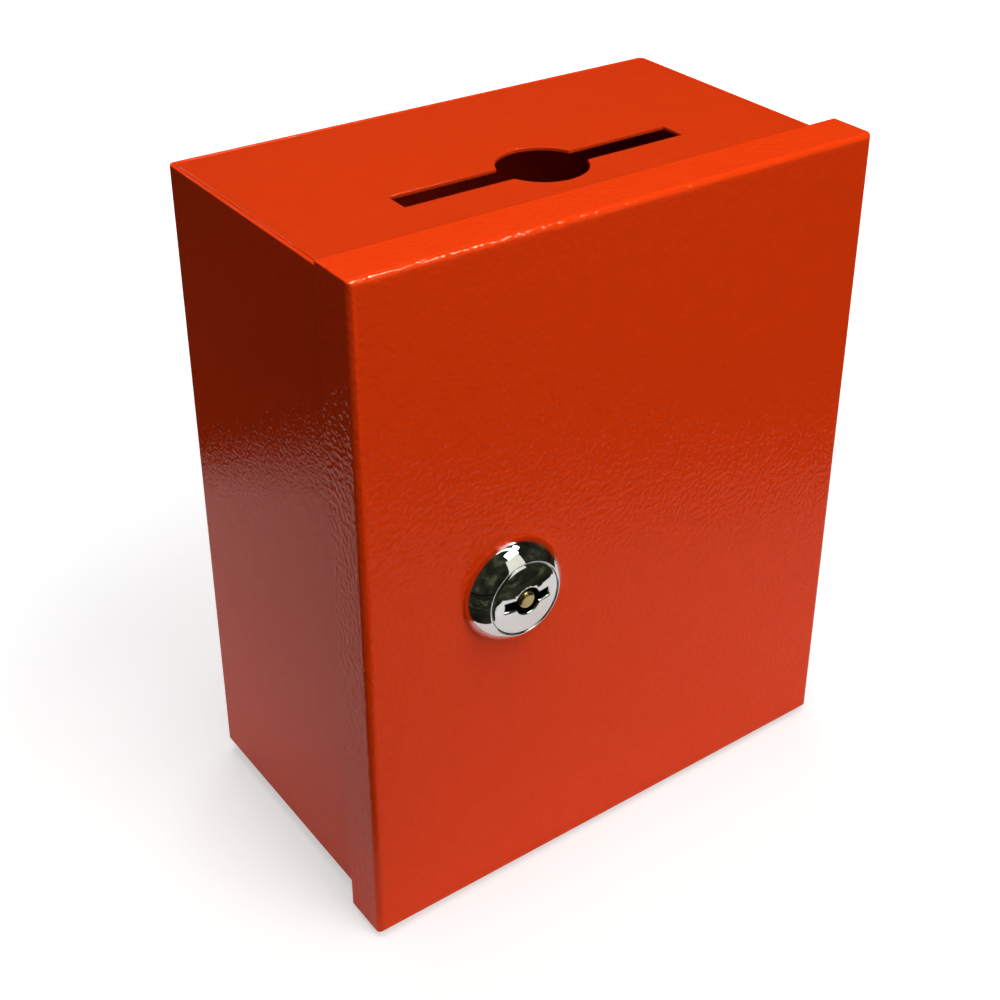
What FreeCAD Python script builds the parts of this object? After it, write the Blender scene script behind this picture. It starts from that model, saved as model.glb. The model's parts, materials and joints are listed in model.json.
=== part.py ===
"""Small steel donation box with a slotted top, a wrap-over front door, two side hinges and a cam lock.

Millimetres. +Z is up and the door faces -Y. The origin is under the middle of the overall box, on the floor.
Places are worked out in a frame whose X is zero on the case's middle plane, whose Y is zero on the door's
front face and whose Z is zero on the floor; each sub-part's Placement then moves it to the origin.
"""
import FreeCAD, Part
import math
import os
import Sketcher

# Driving sizes
SIZES = {
    # Case of folded sheet
    "case_width": 160.0,
    "case_height": 193.0,
    "case_depth": 94.0,
    "case_sheet": 1.2,
    "case_bend": 0.8,
    "lip_width": 10.0,
    "panel_flange": 9.0,
    "panel_edge": 0.5,
    "panel_seam": 0.15,
    # Money slot and coin hole in the top
    "slot_length": 90.0,
    "slot_width": 8.0,
    "slot_setback": 38.3,
    "coin_hole_dia": 25.0,
    # Screw holes in the back
    "wall_hole_dia": 6.5,
    "wall_hole_across": 100.0,
    "wall_hole_up": 150.0,
    # Door tray
    "door_sheet": 1.2,
    "door_flange": 15.0,
    "door_bend": 1.0,
    "door_corner": 0.4,
    "door_side_gap": 1.3,
    "door_end_gap": 2.3,
    "door_rim_gap": 0.5,
    "door_floor_gap": 1.5,
    # Rubber feet
    "foot_dia": 13.0,
    "foot_inset": 16.0,
    "foot_door_gap": 2.0,
    "foot_stem_dia": 5.0,
    "foot_stem_fit": 0.1,
    "foot_bulb_dia": 7.0,
    "foot_bulb_tip_dia": 2.5,
    "foot_bulb_height": 2.0,
    "foot_edge": 1.0,
    # Side hinges
    "hinge_length": 36.0,
    "hinge_end": 38.0,
    "hinge_barrel_dia": 7.0,
    "hinge_pin_dia": 3.0,
    "hinge_pin_fit": 0.05,
    "hinge_pin_head_dia": 4.6,
    "hinge_pin_head": 0.8,
    "hinge_leaf_sheet": 2.0,
    "hinge_case_leaf": 16.0,
    "hinge_door_leaf": 10.0,
    "hinge_wall_gap": 0.6,
    "hinge_knuckle": 12.0,
    "hinge_knuckle_gap": 0.3,
    "hinge_swing_gap": 0.5,
    # Lock head and barrel
    "lock_inset": 44.3,
    "lock_rise": 100.0,
    "lock_ring_dia": 28.7,
    "lock_ring_height": 7.4,
    "lock_ring_rim": 1.0,
    "lock_ring_land": 0.5,
    "lock_barrel_wall": 2.95,
    "lock_barrel_flat_cut": 1.0,
    "lock_hole_fit": 0.2,
    "lock_washer_rim": 4.0,
    "lock_washer_sheet": 1.0,
    "lock_nut_wall": 2.5,
    "lock_nut_height": 4.0,
    # Turning core
    "plug_dia": 21.0,
    "plug_gap": 0.4,
    "plug_sink": 0.2,
    "plug_head": 3.0,
    "plug_edge": 0.3,
    "core_dia": 16.0,
    "core_fit": 0.05,
    "core_end_play": 0.1,
    "core_tail": 4.1,
    "key_wing_wall": 1.1,
    "key_wing_width": 2.6,
    "key_floor": 1.5,
    "key_room": 1.2,
    "post_dia": 5.2,
    "post_rise": 0.1,
    "post_root": 1.5,
    "post_crown": 1.0,
    "post_flat_dia": 3.2,
    "shank_side": 8.0,
    "stud_dia": 6.0,
    "stud_over_nut": 1.0,
    # Wafers in the core
    "wafer_sheet": 1.1,
    "wafer_pitch": 2.2,
    "wafer_bar": 0.7,
    "wafer_bite": 0.7,
    "wafer_fit": 0.1,
    "wafer_inset": 0.1,
    "wafer_throw": 0.8,
    "wafer_first": 2.0,
    # Quarter-turn stop, cam and strike
    "stop_inset": 0.5,
    "stop_sheet": 1.5,
    "stop_lug_inset": 0.4,
    "stop_lug_width": 5.0,
    "stop_play": 0.1,
    "stop_rim_ledge": 0.25,
    "stop_rim_inset": 0.2,
    "cam_sheet": 2.5,
    "cam_width": 16.0,
    "cam_wall_gap": 2.1,
    "spring_washer_rim": 2.5,
    "spring_washer_height": 1.5,
    "cam_nut_wall": 2.0,
    "cam_nut_height": 5.0,
    "strike_sheet": 1.5,
    "strike_arm": 15.0,
    "strike_foot": 22.0,
    "strike_height": 26.0,
    "strike_gap": 0.6,
}
WAFERS = 6

doc = FreeCAD.newDocument("donation_box")
sheet = doc.addObject("Spreadsheet::Sheet", "Sizes")
for row, (alias, number) in enumerate(SIZES.items(), 1):
    sheet.set("A%d" % row, alias)
    sheet.set("B%d" % row, str(number))
    sheet.setAlias("B%d" % row, alias)
doc.recompute()


class Size:
    """A length together with the sheet expression that it comes from."""

    def __init__(self, text, value):
        self.text = text
        self.value = float(value)

    def __add__(self, other):
        other = as_size(other)
        return Size("(%s + %s)" % (self.text, other.text), self.value + other.value)

    def __sub__(self, other):
        other = as_size(other)
        return Size("(%s - %s)" % (self.text, other.text), self.value - other.value)

    def __mul__(self, factor):
        return Size("(%s * %r)" % (self.text, float(factor)), self.value * factor)

    def __truediv__(self, divisor):
        return self * (1.0 / divisor)

    def __neg__(self):
        return self * -1

    __radd__ = __add__
    __rmul__ = __mul__


def as_size(number):
    """A plain number as a Size, and a Size as it is."""
    return number if isinstance(number, Size) else Size("%r" % float(number), number)


class Sheet:
    """The sheet's cells by name, each as a Size."""

    def __getattr__(self, alias):
        return Size("Sizes.%s" % alias, getattr(sheet, alias))


dim = Sheet()
ZERO = as_size(0)

# Places in the working frame
door_width = dim.case_width + 2 * (dim.door_side_gap + dim.door_sheet)
door_height = dim.case_height + 2 * (dim.door_end_gap + dim.door_sheet)
case_floor = dim.door_floor_gap + dim.door_sheet + dim.door_end_gap
case_top = case_floor + dim.case_height
rim_y = dim.door_sheet + dim.door_rim_gap
back_y = rim_y + dim.case_depth
half_case = dim.case_width / 2
half_door = door_width / 2
slot_y = rim_y + dim.slot_setback

barrel_radius = dim.hinge_barrel_dia / 2
hinge_x = half_case + dim.hinge_wall_gap + barrel_radius
hinge_y = dim.door_flange + dim.hinge_swing_gap + barrel_radius

lock_x = dim.lock_inset - half_door
lock_z = dim.door_floor_gap + dim.lock_rise

# Heights along the lock, where zero is the door's front face and the front is positive
plug_face = dim.lock_ring_height - dim.plug_sink
plug_back = plug_face - dim.plug_head
seat_floor = plug_back - dim.core_end_play
first_wafer = seat_floor - dim.wafer_first
last_wafer_back = first_wafer - dim.wafer_pitch * (WAFERS - 1) - dim.wafer_sheet
key_end = last_wafer_back - dim.key_floor
post_end = key_end - dim.post_root
core_back = post_end - dim.core_tail
barrel_back = core_back + dim.core_end_play
cam_front = core_back - dim.stop_sheet
cam_back = cam_front - dim.cam_sheet
lock_nut_front = -dim.door_sheet - dim.lock_washer_sheet
cam_nut_front = cam_back - dim.spring_washer_height

# Diameters and widths of the lock
seat_dia = dim.plug_dia + 2 * dim.plug_gap
bore_dia = dim.core_dia + 2 * dim.core_fit
barrel_dia = bore_dia + 2 * dim.lock_barrel_wall
barrel_flat = barrel_dia - 2 * dim.lock_barrel_flat_cut
key_hole_dia = dim.post_dia + 2 * dim.key_room
key_wing_span = dim.core_dia - 2 * dim.key_wing_wall
window_span = key_wing_span - 2 * dim.wafer_bite
window_height = key_hole_dia + 2 * dim.wafer_fit
wafer_height = window_height + 2 * dim.wafer_bar
wafer_slot_height = wafer_height + 2 * dim.wafer_fit
wafer_slot_sheet = dim.wafer_sheet + 2 * dim.wafer_fit
stop_rim_dia = barrel_flat - 2 * dim.stop_rim_inset
cam_reach = lock_x + half_case - dim.case_sheet - dim.strike_sheet - dim.cam_wall_gap

# The overall box, whose floor centre is the origin
right_side = hinge_x + barrel_radius
origin_x = (right_side - half_door) / 2
origin_y = (back_y - dim.lock_ring_height) / 2

SUBPARTS = []


def put(thing, x, y, z):
    """Bind a sub-part's place, given in the working frame, to the sheet."""
    for axis, size in zip("xyz", (x - origin_x, y - origin_y, as_size(z))):
        thing.setExpression("Placement.Base.%s" % axis, size.text)


def new_body(label, x=ZERO, y=ZERO, z=ZERO, facing_front=False):
    """An empty sub-part. One that faces the front has its local Z towards -Y and its local Y upwards."""
    body = doc.addObject("PartDesign::Body", "Body")
    body.Label = label
    if facing_front:
        body.Placement = FreeCAD.Placement(FreeCAD.Vector(), FreeCAD.Rotation(FreeCAD.Vector(1, 0, 0), 90))
    put(body, x, y, z)
    SUBPARTS.append(body)
    return body


def new_sketch(body, role="XY_Plane", lift=None):
    """A sketch on one of the body's own origin planes, lifted along that plane's normal."""
    plane = next(feature for feature in body.Origin.OriginFeatures if feature.Role == role)
    sketch = body.newObject("Sketcher::SketchObject", "Sketch")
    sketch.AttachmentSupport = [(plane, "")]
    sketch.MapMode = "FlatFace"
    if lift is not None:
        sketch.setExpression("AttachmentOffset.Base.z", as_size(lift).text)
    return sketch


def hold(sketch, kind, size, *ends):
    """Add a dimension to a sketch and bind it to the sheet."""
    size = as_size(size)
    index = sketch.addConstraint(Sketcher.Constraint(kind, *ends, size.value))
    sketch.setExpression("Constraints[%d]" % index, size.text)


def pin(sketch, element, vertex, x, y):
    """Hold a sketch point at its distances from the sketch's origin."""
    hold(sketch, "DistanceX", x, -1, 1, element, vertex)
    hold(sketch, "DistanceY", y, -1, 1, element, vertex)


def arc_between(start, end, centre_y):
    """The counter-clockwise arc from one point to another about a centre at a given height."""
    squares = start.x ** 2 - end.x ** 2 + (start.y - centre_y) ** 2 - (end.y - centre_y) ** 2
    centre = FreeCAD.Vector(squares / (2 * (start.x - end.x)), centre_y, 0)
    circle = Part.Circle(centre, FreeCAD.Vector(0, 0, 1), start.distanceToPoint(centre))
    angles = [math.atan2(point.y - centre.y, point.x - centre.x) for point in (start, end)]
    return Part.ArcOfCircle(circle, *angles)


def draw_outline(sketch, corners):
    """A closed outline through corners, each a pair of sizes.

    A third size in a corner makes the side that starts there an arc about a centre at that height.
    """
    corners = [[as_size(size) for size in corner] for corner in corners]
    points = [FreeCAD.Vector(corner[0].value, corner[1].value, 0) for corner in corners]
    sides = []
    for corner, start, end in zip(corners, points, points[1:] + points[:1]):
        is_arc = len(corner) == 3
        sides.append(arc_between(start, end, corner[2].value) if is_arc else Part.LineSegment(start, end))
    added = sketch.addGeometry(sides, False)
    for side, following in zip(added, added[1:] + added[:1]):
        sketch.addConstraint(Sketcher.Constraint("Coincident", side, 2, following, 1))
    for side, corner in zip(added, corners):
        pin(sketch, side, 1, corner[0], corner[1])
        if len(corner) == 3:
            hold(sketch, "DistanceY", corner[2], -1, 1, side, 3)


def draw_box(sketch, x0, y0, x1, y1):
    """A rectangle between two corners."""
    draw_outline(sketch, [(x0, y0), (x1, y0), (x1, y1), (x0, y1)])


def draw_circle(sketch, x, y, diameter):
    """A circle held by its centre and its diameter."""
    x, y, diameter = as_size(x), as_size(y), as_size(diameter)
    centre = FreeCAD.Vector(x.value, y.value, 0)
    circle = sketch.addGeometry(Part.Circle(centre, FreeCAD.Vector(0, 0, 1), diameter.value / 2), False)
    pin(sketch, circle, 3, x, y)
    hold(sketch, "Diameter", diameter, circle)


def draw_flatted_circle(sketch, x, y, diameter, flats, upright=True):
    """A circle cut by two flats: upright flats face left and right, the others face up and down."""
    x, y, diameter, flats = as_size(x), as_size(y), as_size(diameter), as_size(flats)
    centre = FreeCAD.Vector(x.value, y.value, 0)
    axis = FreeCAD.Vector(0, 0, 1)
    whole = Part.Circle(centre, axis, diameter.value / 2)
    turn = math.acos(flats.value / diameter.value)
    start = 0.0 if upright else math.pi / 2
    spans = [(start + turn, start + math.pi - turn), (start + math.pi + turn, start + 2 * math.pi - turn)]
    first, second = [Part.ArcOfCircle(whole, low, high) for low, high in spans]
    ends = [(first.EndPoint, second.StartPoint), (second.EndPoint, first.StartPoint)]
    lines = [Part.LineSegment(a, b) for a, b in ends]
    arc_a, line_a, arc_b, line_b = sketch.addGeometry([first, lines[0], second, lines[1]], False)
    for before, after in ((arc_a, line_a), (line_a, arc_b), (arc_b, line_b), (line_b, arc_a)):
        sketch.addConstraint(Sketcher.Constraint("Coincident", before, 2, after, 1))
    for arc in (arc_a, arc_b):
        pin(sketch, arc, 3, x, y)
        hold(sketch, "Diameter", diameter, arc)
    for line, side in ((line_a, -1), (line_b, 1)):
        sketch.addConstraint(Sketcher.Constraint("Vertical" if upright else "Horizontal", line))
        kind, middle = ("DistanceX", x) if upright else ("DistanceY", y)
        hold(sketch, kind, middle + flats * (side / 2), -1, 1, line, 1)


def pad(body, sketch, length, downwards=False):
    """Raise a sketch into a solid along its plane's normal, or against it."""
    feature = body.newObject("PartDesign::Pad", "Pad")
    feature.Profile = sketch
    feature.Reversed = downwards
    feature.setExpression("Length", as_size(length).text)
    doc.recompute()
    return feature


def pocket(body, sketch, length=None, upwards=False):
    """Cut a sketch into the solid against its plane's normal, or along it; with no length, right through."""
    before = body.Shape.Volume
    feature = body.newObject("PartDesign::Pocket", "Pocket")
    feature.Profile = sketch
    feature.Reversed = upwards
    if length is None:
        feature.Type = "ThroughAll"
        feature.SideType = "Symmetric"
    else:
        feature.setExpression("Length", as_size(length).text)
    doc.recompute()
    if not body.Shape.Volume < before - 1e-6:
        raise RuntimeError("a pocket in %s cut nothing" % body.Label)
    return feature


def revolve(body, sketch):
    """Turn a sketch on the XZ plane about the body's Z axis."""
    feature = body.newObject("PartDesign::Revolution", "Revolution")
    feature.Profile = sketch
    feature.ReferenceAxis = (sketch, ["V_Axis"])
    feature.Angle = 360
    doc.recompute()
    return feature


def round_edges(body, radius, chosen):
    """Fillet every edge of the body for which chosen(edge) is true, in the body's own frame."""
    base = body.Tip
    names = ["Edge%d" % number for number, edge in enumerate(base.Shape.Edges, 1) if chosen(edge)]
    feature = body.newObject("PartDesign::Fillet", "Fillet")
    feature.Base = (base, names)
    feature.setExpression("Radius", as_size(radius).text)
    doc.recompute()
    return feature


def runs_along(edge, axis):
    """True for a straight edge along the X, Y or Z axis."""
    if edge.Curve.TypeId != "Part::GeomLine":
        return False
    return abs(abs(getattr(edge.Curve.Direction, axis)) - 1) < 1e-6


def near(number, *others):
    """True where a number equals one of the others."""
    return any(abs(number - other) < 1e-4 for other in others)


def lies_on(edge, axis, level):
    """True where the whole edge has the same coordinate, at a level given as a Size."""
    return all(near(getattr(vertex.Point, axis), as_size(level).value) for vertex in edge.Vertexes)


# Case


def make_case_wrap():
    """Left wall, back and right wall in one folded sheet, with a lip turned in along each front edge."""
    body = new_body("case_wrap", z=case_floor)
    inner = half_case - dim.case_sheet
    lip = half_case - dim.lip_width
    lip_back = rim_y + dim.case_sheet
    inner_back = back_y - dim.case_sheet
    right_half = [(half_case, back_y), (half_case, rim_y), (lip, rim_y), (lip, lip_back), (inner, lip_back),
                  (inner, inner_back)]
    left_half = [(-x, y) for x, y in reversed(right_half)]
    profile = new_sketch(body)
    draw_outline(profile, right_half + left_half)
    pad(body, profile, dim.case_height)

    def outer_bend(edge):
        return runs_along(edge, "z") and near(abs(edge.Vertexes[0].X), half_case.value)

    def inner_bend(edge):
        return runs_along(edge, "z") and near(abs(edge.Vertexes[0].X), inner.value)

    round_edges(body, dim.case_bend + dim.case_sheet, outer_bend)
    round_edges(body, dim.case_bend, inner_bend)
    holes = new_sketch(body, "XZ_Plane")
    for side in (-0.5, 0.5):
        for level in (-0.5, 0.5):
            hole_z = dim.case_height / 2 + dim.wall_hole_up * level
            draw_circle(holes, dim.wall_hole_across * side, hole_z, dim.wall_hole_dia)
    pocket(body, holes)
    return body


panel_half = half_case - dim.case_sheet - dim.panel_seam
panel_front = rim_y + dim.case_sheet + dim.panel_seam
panel_back = back_y - dim.case_sheet - dim.panel_seam


def make_panel(label, z, flat_side_up):
    """A flat panel with its four edges folded over, open away from its flat side."""
    body = new_body(label, z=z)
    block = new_sketch(body)
    draw_box(block, -panel_half, panel_front, panel_half, panel_back)
    pad(body, block, dim.panel_flange)
    round_edges(body, dim.case_bend, lambda edge: runs_along(edge, "z"))
    flat_level = dim.panel_flange if flat_side_up else ZERO
    round_edges(body, dim.panel_edge, lambda edge: lies_on(edge, "z", flat_level))
    hollow = new_sketch(body, lift=dim.panel_flange - dim.case_sheet if flat_side_up else dim.case_sheet)
    draw_box(hollow, -panel_half + dim.case_sheet, panel_front + dim.case_sheet,
             panel_half - dim.case_sheet, panel_back - dim.case_sheet)
    pocket(body, hollow, dim.panel_flange - dim.case_sheet, upwards=not flat_side_up)
    return body


def make_top_panel():
    """The top, with the money slot and the coin hole in the middle of it."""
    body = make_panel("top_panel", case_top - dim.panel_flange, flat_side_up=True)
    slot = new_sketch(body)
    half_length = dim.slot_length / 2
    half_width = dim.slot_width / 2
    draw_box(slot, -half_length, slot_y - half_width, half_length, slot_y + half_width)
    pocket(body, slot)
    hole = new_sketch(body)
    draw_circle(hole, 0, slot_y, dim.coin_hole_dia)
    pocket(body, hole)
    return body


foot_places = {
    "front_left": (dim.foot_inset - half_case, dim.door_flange + dim.foot_door_gap + dim.foot_dia / 2),
    "front_right": (half_case - dim.foot_inset, dim.door_flange + dim.foot_door_gap + dim.foot_dia / 2),
    "back_left": (dim.foot_inset - half_case, back_y - dim.foot_inset),
    "back_right": (half_case - dim.foot_inset, back_y - dim.foot_inset),
}


def make_bottom_panel():
    """The floor, with a hole for each foot."""
    body = make_panel("bottom_panel", case_floor, flat_side_up=False)
    holes = new_sketch(body)
    for x, y in foot_places.values():
        draw_circle(holes, x, y, dim.foot_stem_dia + 2 * dim.foot_stem_fit)
    pocket(body, holes)
    return body


def make_foot(place, x, y):
    """A push-in rubber foot: a round pad, a stem through the floor and a bulb that holds it."""
    body = new_body("foot_" + place, x, y)
    pad_radius = dim.foot_dia / 2
    stem_radius = dim.foot_stem_dia / 2
    floor_inside = case_floor + dim.case_sheet
    profile = new_sketch(body, "XZ_Plane")
    draw_outline(profile, [
        (0, 0),
        (pad_radius - dim.foot_edge, 0),
        (pad_radius, dim.foot_edge),
        (pad_radius, case_floor),
        (stem_radius, case_floor),
        (stem_radius, floor_inside),
        (dim.foot_bulb_dia / 2, floor_inside),
        (dim.foot_bulb_tip_dia / 2, floor_inside + dim.foot_bulb_height),
        (0, floor_inside + dim.foot_bulb_height),
    ])
    revolve(body, profile)
    return body


def make_strike():
    """An angle on the left wall. Its arm stands in front of the locked cam."""
    wall = dim.case_sheet - half_case
    arm_back = -cam_front - dim.strike_gap
    arm_front = arm_back - dim.strike_sheet
    body = new_body("strike", z=lock_z - dim.strike_height / 2)
    profile = new_sketch(body)
    draw_outline(profile, [
        (wall, arm_front),
        (wall + dim.strike_arm, arm_front),
        (wall + dim.strike_arm, arm_back),
        (wall + dim.strike_sheet, arm_back),
        (wall + dim.strike_sheet, arm_front + dim.strike_foot),
        (wall, arm_front + dim.strike_foot),
    ])
    pad(body, profile, dim.strike_height)
    return body


# Door


def make_door_panel():
    """A shallow tray whose flanges wrap over the front of the case."""
    body = new_body("door_panel", z=dim.door_floor_gap)
    front = new_sketch(body, "XZ_Plane")
    draw_box(front, -half_door, 0, half_door, door_height)
    pad(body, front, dim.door_flange, downwards=True)
    inner_corner = dim.door_bend + dim.door_corner
    round_edges(body, inner_corner + dim.door_sheet, lambda edge: runs_along(edge, "y"))
    round_edges(body, dim.door_bend + dim.door_sheet, lambda edge: lies_on(edge, "y", ZERO))
    hollow = new_sketch(body, "XZ_Plane", lift=-dim.door_sheet)
    inner_half = half_door - dim.door_sheet
    draw_box(hollow, -inner_half, dim.door_sheet, inner_half, door_height - dim.door_sheet)
    pocket(body, hollow, dim.door_flange - dim.door_sheet)

    def hollow_corner(edge):
        return runs_along(edge, "y") and near(abs(edge.Vertexes[0].X), inner_half.value)

    round_edges(body, inner_corner, hollow_corner)
    round_edges(body, dim.door_bend, lambda edge: lies_on(edge, "y", dim.door_sheet))
    hole = new_sketch(body, "XZ_Plane")
    draw_flatted_circle(hole, lock_x, dim.lock_rise, barrel_dia + 2 * dim.lock_hole_fit,
                        barrel_flat + 2 * dim.lock_hole_fit)
    pocket(body, hole)
    return body


# Hinges

hinge_middles = {"upper": case_top - dim.hinge_end, "lower": case_floor + dim.hinge_end}
leaf_start = barrel_radius + dim.hinge_swing_gap
door_knuckle_start = dim.hinge_knuckle + dim.hinge_knuckle_gap
door_knuckle = dim.hinge_length - 2 * door_knuckle_start


def make_hinge_leaf(label, middle, face_x, side, leaf_length, knuckles, bore):
    """One leaf of a hinge about its own pin: side 1 runs back from the pin and side -1 runs forward."""
    body = new_body(label, hinge_x, hinge_y, middle - dim.hinge_length / 2)
    far_x = face_x + dim.hinge_leaf_sheet
    leaf = new_sketch(body)
    draw_box(leaf, face_x, leaf_start * side, far_x, (leaf_start + leaf_length) * side)
    pad(body, leaf, dim.hinge_length)
    for start, length in knuckles:
        neck = new_sketch(body, lift=start)
        draw_box(neck, face_x, 0, far_x, leaf_start * side)
        pad(body, neck, length)
        barrel = new_sketch(body, lift=start)
        draw_circle(barrel, 0, 0, dim.hinge_barrel_dia)
        pad(body, barrel, length)
    hole = new_sketch(body)
    draw_circle(hole, 0, 0, bore)
    pocket(body, hole)
    return body


def make_hinge(name, middle):
    """A case leaf with two knuckles, a door leaf with the knuckle between them, and a headed pin."""
    case_face = half_case - hinge_x
    door_face = half_door - hinge_x
    case_knuckles = [(ZERO, dim.hinge_knuckle), (dim.hinge_length - dim.hinge_knuckle, dim.hinge_knuckle)]
    make_hinge_leaf(name + "_hinge_case_leaf", middle, case_face, 1, dim.hinge_case_leaf, case_knuckles,
                    dim.hinge_pin_dia)
    make_hinge_leaf(name + "_hinge_door_leaf", middle, door_face, -1, dim.hinge_door_leaf,
                    [(door_knuckle_start, door_knuckle)], dim.hinge_pin_dia + 2 * dim.hinge_pin_fit)
    body = new_body(name + "_hinge_pin", hinge_x, hinge_y, middle - dim.hinge_length / 2)
    pin_radius = dim.hinge_pin_dia / 2
    head_radius = dim.hinge_pin_head_dia / 2
    top = dim.hinge_length
    profile = new_sketch(body, "XZ_Plane")
    draw_outline(profile, [
        (0, -dim.hinge_pin_head),
        (head_radius, -dim.hinge_pin_head),
        (head_radius, 0),
        (pin_radius, 0),
        (pin_radius, top),
        (head_radius, top),
        (head_radius, top + dim.hinge_pin_head),
        (0, top + dim.hinge_pin_head),
    ])
    revolve(body, profile)


# Lock. Its own frame has Z towards the front, with zero on the door's front face, and Y upwards.

def new_lock_body(label):
    """A sub-part in the lock's own frame."""
    return new_body(label, lock_x, ZERO, lock_z, facing_front=True)


def make_lock_housing():
    """The domed head on the door's face and the flatted barrel behind it, with the stop for the core."""
    body = new_lock_body("lock_housing")
    ring_radius = dim.lock_ring_dia / 2
    seat_radius = seat_dia / 2
    rim, top = dim.lock_ring_rim, dim.lock_ring_height
    head = new_sketch(body, "XZ_Plane")
    draw_outline(head, [
        (bore_dia / 2, 0),
        (ring_radius, 0),
        (ring_radius, rim, rim),
        (seat_radius + dim.lock_ring_land, top),
        (seat_radius, top),
        (seat_radius, seat_floor),
        (bore_dia / 2, seat_floor),
    ])
    revolve(body, head)
    barrel = new_sketch(body)
    draw_flatted_circle(barrel, 0, 0, barrel_dia, barrel_flat)
    pad(body, barrel, -barrel_back, downwards=True)
    bore = new_sketch(body)
    draw_circle(bore, 0, 0, bore_dia)
    pocket(body, bore, -barrel_back)
    groove_front = first_wafer + dim.wafer_fit
    groove_length = groove_front - last_wafer_back + dim.wafer_fit
    groove_reach = dim.core_dia / 2 + dim.wafer_throw + 2 * dim.wafer_fit
    groove_half = wafer_slot_height / 2 + dim.wafer_fit
    for half_x, half_y in ((groove_reach, groove_half), (groove_half, groove_reach)):
        groove = new_sketch(body, lift=groove_front)
        draw_box(groove, -half_x, -half_y, half_x, half_y)
        pocket(body, groove, groove_length)
    rear = new_sketch(body, lift=barrel_back)
    draw_circle(rear, 0, 0, stop_rim_dia)
    draw_circle(rear, 0, 0, bore_dia + 2 * dim.stop_rim_ledge)
    pad(body, rear, dim.stop_sheet, downwards=True)
    notch = new_sketch(body, lift=barrel_back)
    stop_side = -(dim.stop_lug_width / 2 + dim.stop_play)
    draw_box(notch, stop_side, stop_side, stop_rim_dia, stop_rim_dia)
    pocket(body, notch, dim.stop_sheet)
    return body


def make_lock_plug():
    """The core: flush round face, keyhole, wafer slots, square shank and threaded stud."""
    body = new_lock_body("lock_plug")
    face_radius = dim.plug_dia / 2
    core_radius = dim.core_dia / 2
    profile = new_sketch(body, "XZ_Plane")
    draw_outline(profile, [
        (0, core_back),
        (core_radius, core_back),
        (core_radius, plug_back),
        (face_radius, plug_back),
        (face_radius, plug_face - dim.plug_edge),
        (face_radius - dim.plug_edge, plug_face),
        (0, plug_face),
    ])
    revolve(body, profile)
    key_depth = plug_face - key_end
    round_hole = new_sketch(body, lift=plug_face)
    draw_circle(round_hole, 0, 0, key_hole_dia)
    pocket(body, round_hole, key_depth)
    wings = new_sketch(body, lift=plug_face)
    half_span, half_width = key_wing_span / 2, dim.key_wing_width / 2
    draw_box(wings, -half_span, -half_width, half_span, half_width)
    pocket(body, wings, key_depth)
    root = new_sketch(body, lift=key_end)
    draw_circle(root, 0, 0, dim.post_dia)
    pocket(body, root, dim.post_root)
    slot = new_sketch(body, "YZ_Plane")
    slot_front = first_wafer + dim.wafer_fit
    half_height = wafer_slot_height / 2
    draw_box(slot, -half_height, slot_front - wafer_slot_sheet, half_height, slot_front)
    first_slot = pocket(body, slot)
    slots = body.newObject("PartDesign::LinearPattern", "Slots")
    slots.Originals = [first_slot]
    slots.Direction = (slot, ["V_Axis"])
    slots.Reversed = True
    slots.Occurrences = WAFERS
    slots.setExpression("Length", (dim.wafer_pitch * (WAFERS - 1)).text)
    body.Tip = slots
    doc.recompute()
    shank = new_sketch(body, lift=core_back)
    half_side = dim.shank_side / 2
    draw_box(shank, -half_side, -half_side, half_side, half_side)
    pad(body, shank, dim.stop_sheet + dim.cam_sheet, downwards=True)
    stud = new_sketch(body, lift=cam_back)
    draw_circle(stud, 0, 0, dim.stud_dia)
    pad(body, stud, dim.spring_washer_height + dim.cam_nut_height + dim.stud_over_nut, downwards=True)
    return body


def make_key_post():
    """The round post in the middle of the keyhole that a hollow key slides over."""
    body = new_lock_body("key_post")
    radius = dim.post_dia / 2
    tip = plug_face + dim.post_rise
    profile = new_sketch(body, "XZ_Plane")
    draw_outline(profile, [
        (0, post_end),
        (radius, post_end),
        (radius, tip - dim.post_crown, tip - dim.post_crown),
        (dim.post_flat_dia / 2, tip),
        (0, tip),
    ])
    revolve(body, profile)
    return body


def make_wafer(number):
    """A sliding plate with round ends and a window for the key, drawn in flush with the core."""
    body = new_lock_body("lock_wafer_%d" % number)
    front = first_wafer - dim.wafer_pitch * (number - 1)
    plate = new_sketch(body, lift=front)
    draw_flatted_circle(plate, 0, 0, dim.core_dia - 2 * dim.wafer_inset, wafer_height, upright=False)
    pad(body, plate, dim.wafer_sheet, downwards=True)
    window = new_sketch(body, lift=front)
    half_span, half_height = window_span / 2, window_height / 2
    draw_box(window, -half_span, -half_height, half_span, half_height)
    pocket(body, window, dim.wafer_sheet)
    return body


def cut_square_hole(body, front):
    """The square hole by which a plate sits on the core's shank."""
    hole = new_sketch(body, lift=front)
    half_side = dim.shank_side / 2
    draw_box(hole, -half_side, -half_side, half_side, half_side)
    pocket(body, hole)


def make_stop_washer():
    """A plate on the shank whose lug runs in the notch at the barrel's end."""
    body = new_lock_body("stop_washer")
    disc = new_sketch(body, lift=core_back)
    draw_circle(disc, 0, 0, dim.core_dia - 2 * dim.stop_inset)
    pad(body, disc, dim.stop_sheet, downwards=True)
    lug = new_sketch(body, lift=core_back)
    half_width = dim.stop_lug_width / 2
    draw_box(lug, -half_width, 0, half_width, stop_rim_dia / 2 - dim.stop_lug_inset)
    pad(body, lug, dim.stop_sheet, downwards=True)
    cut_square_hole(body, core_back)
    return body


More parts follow.
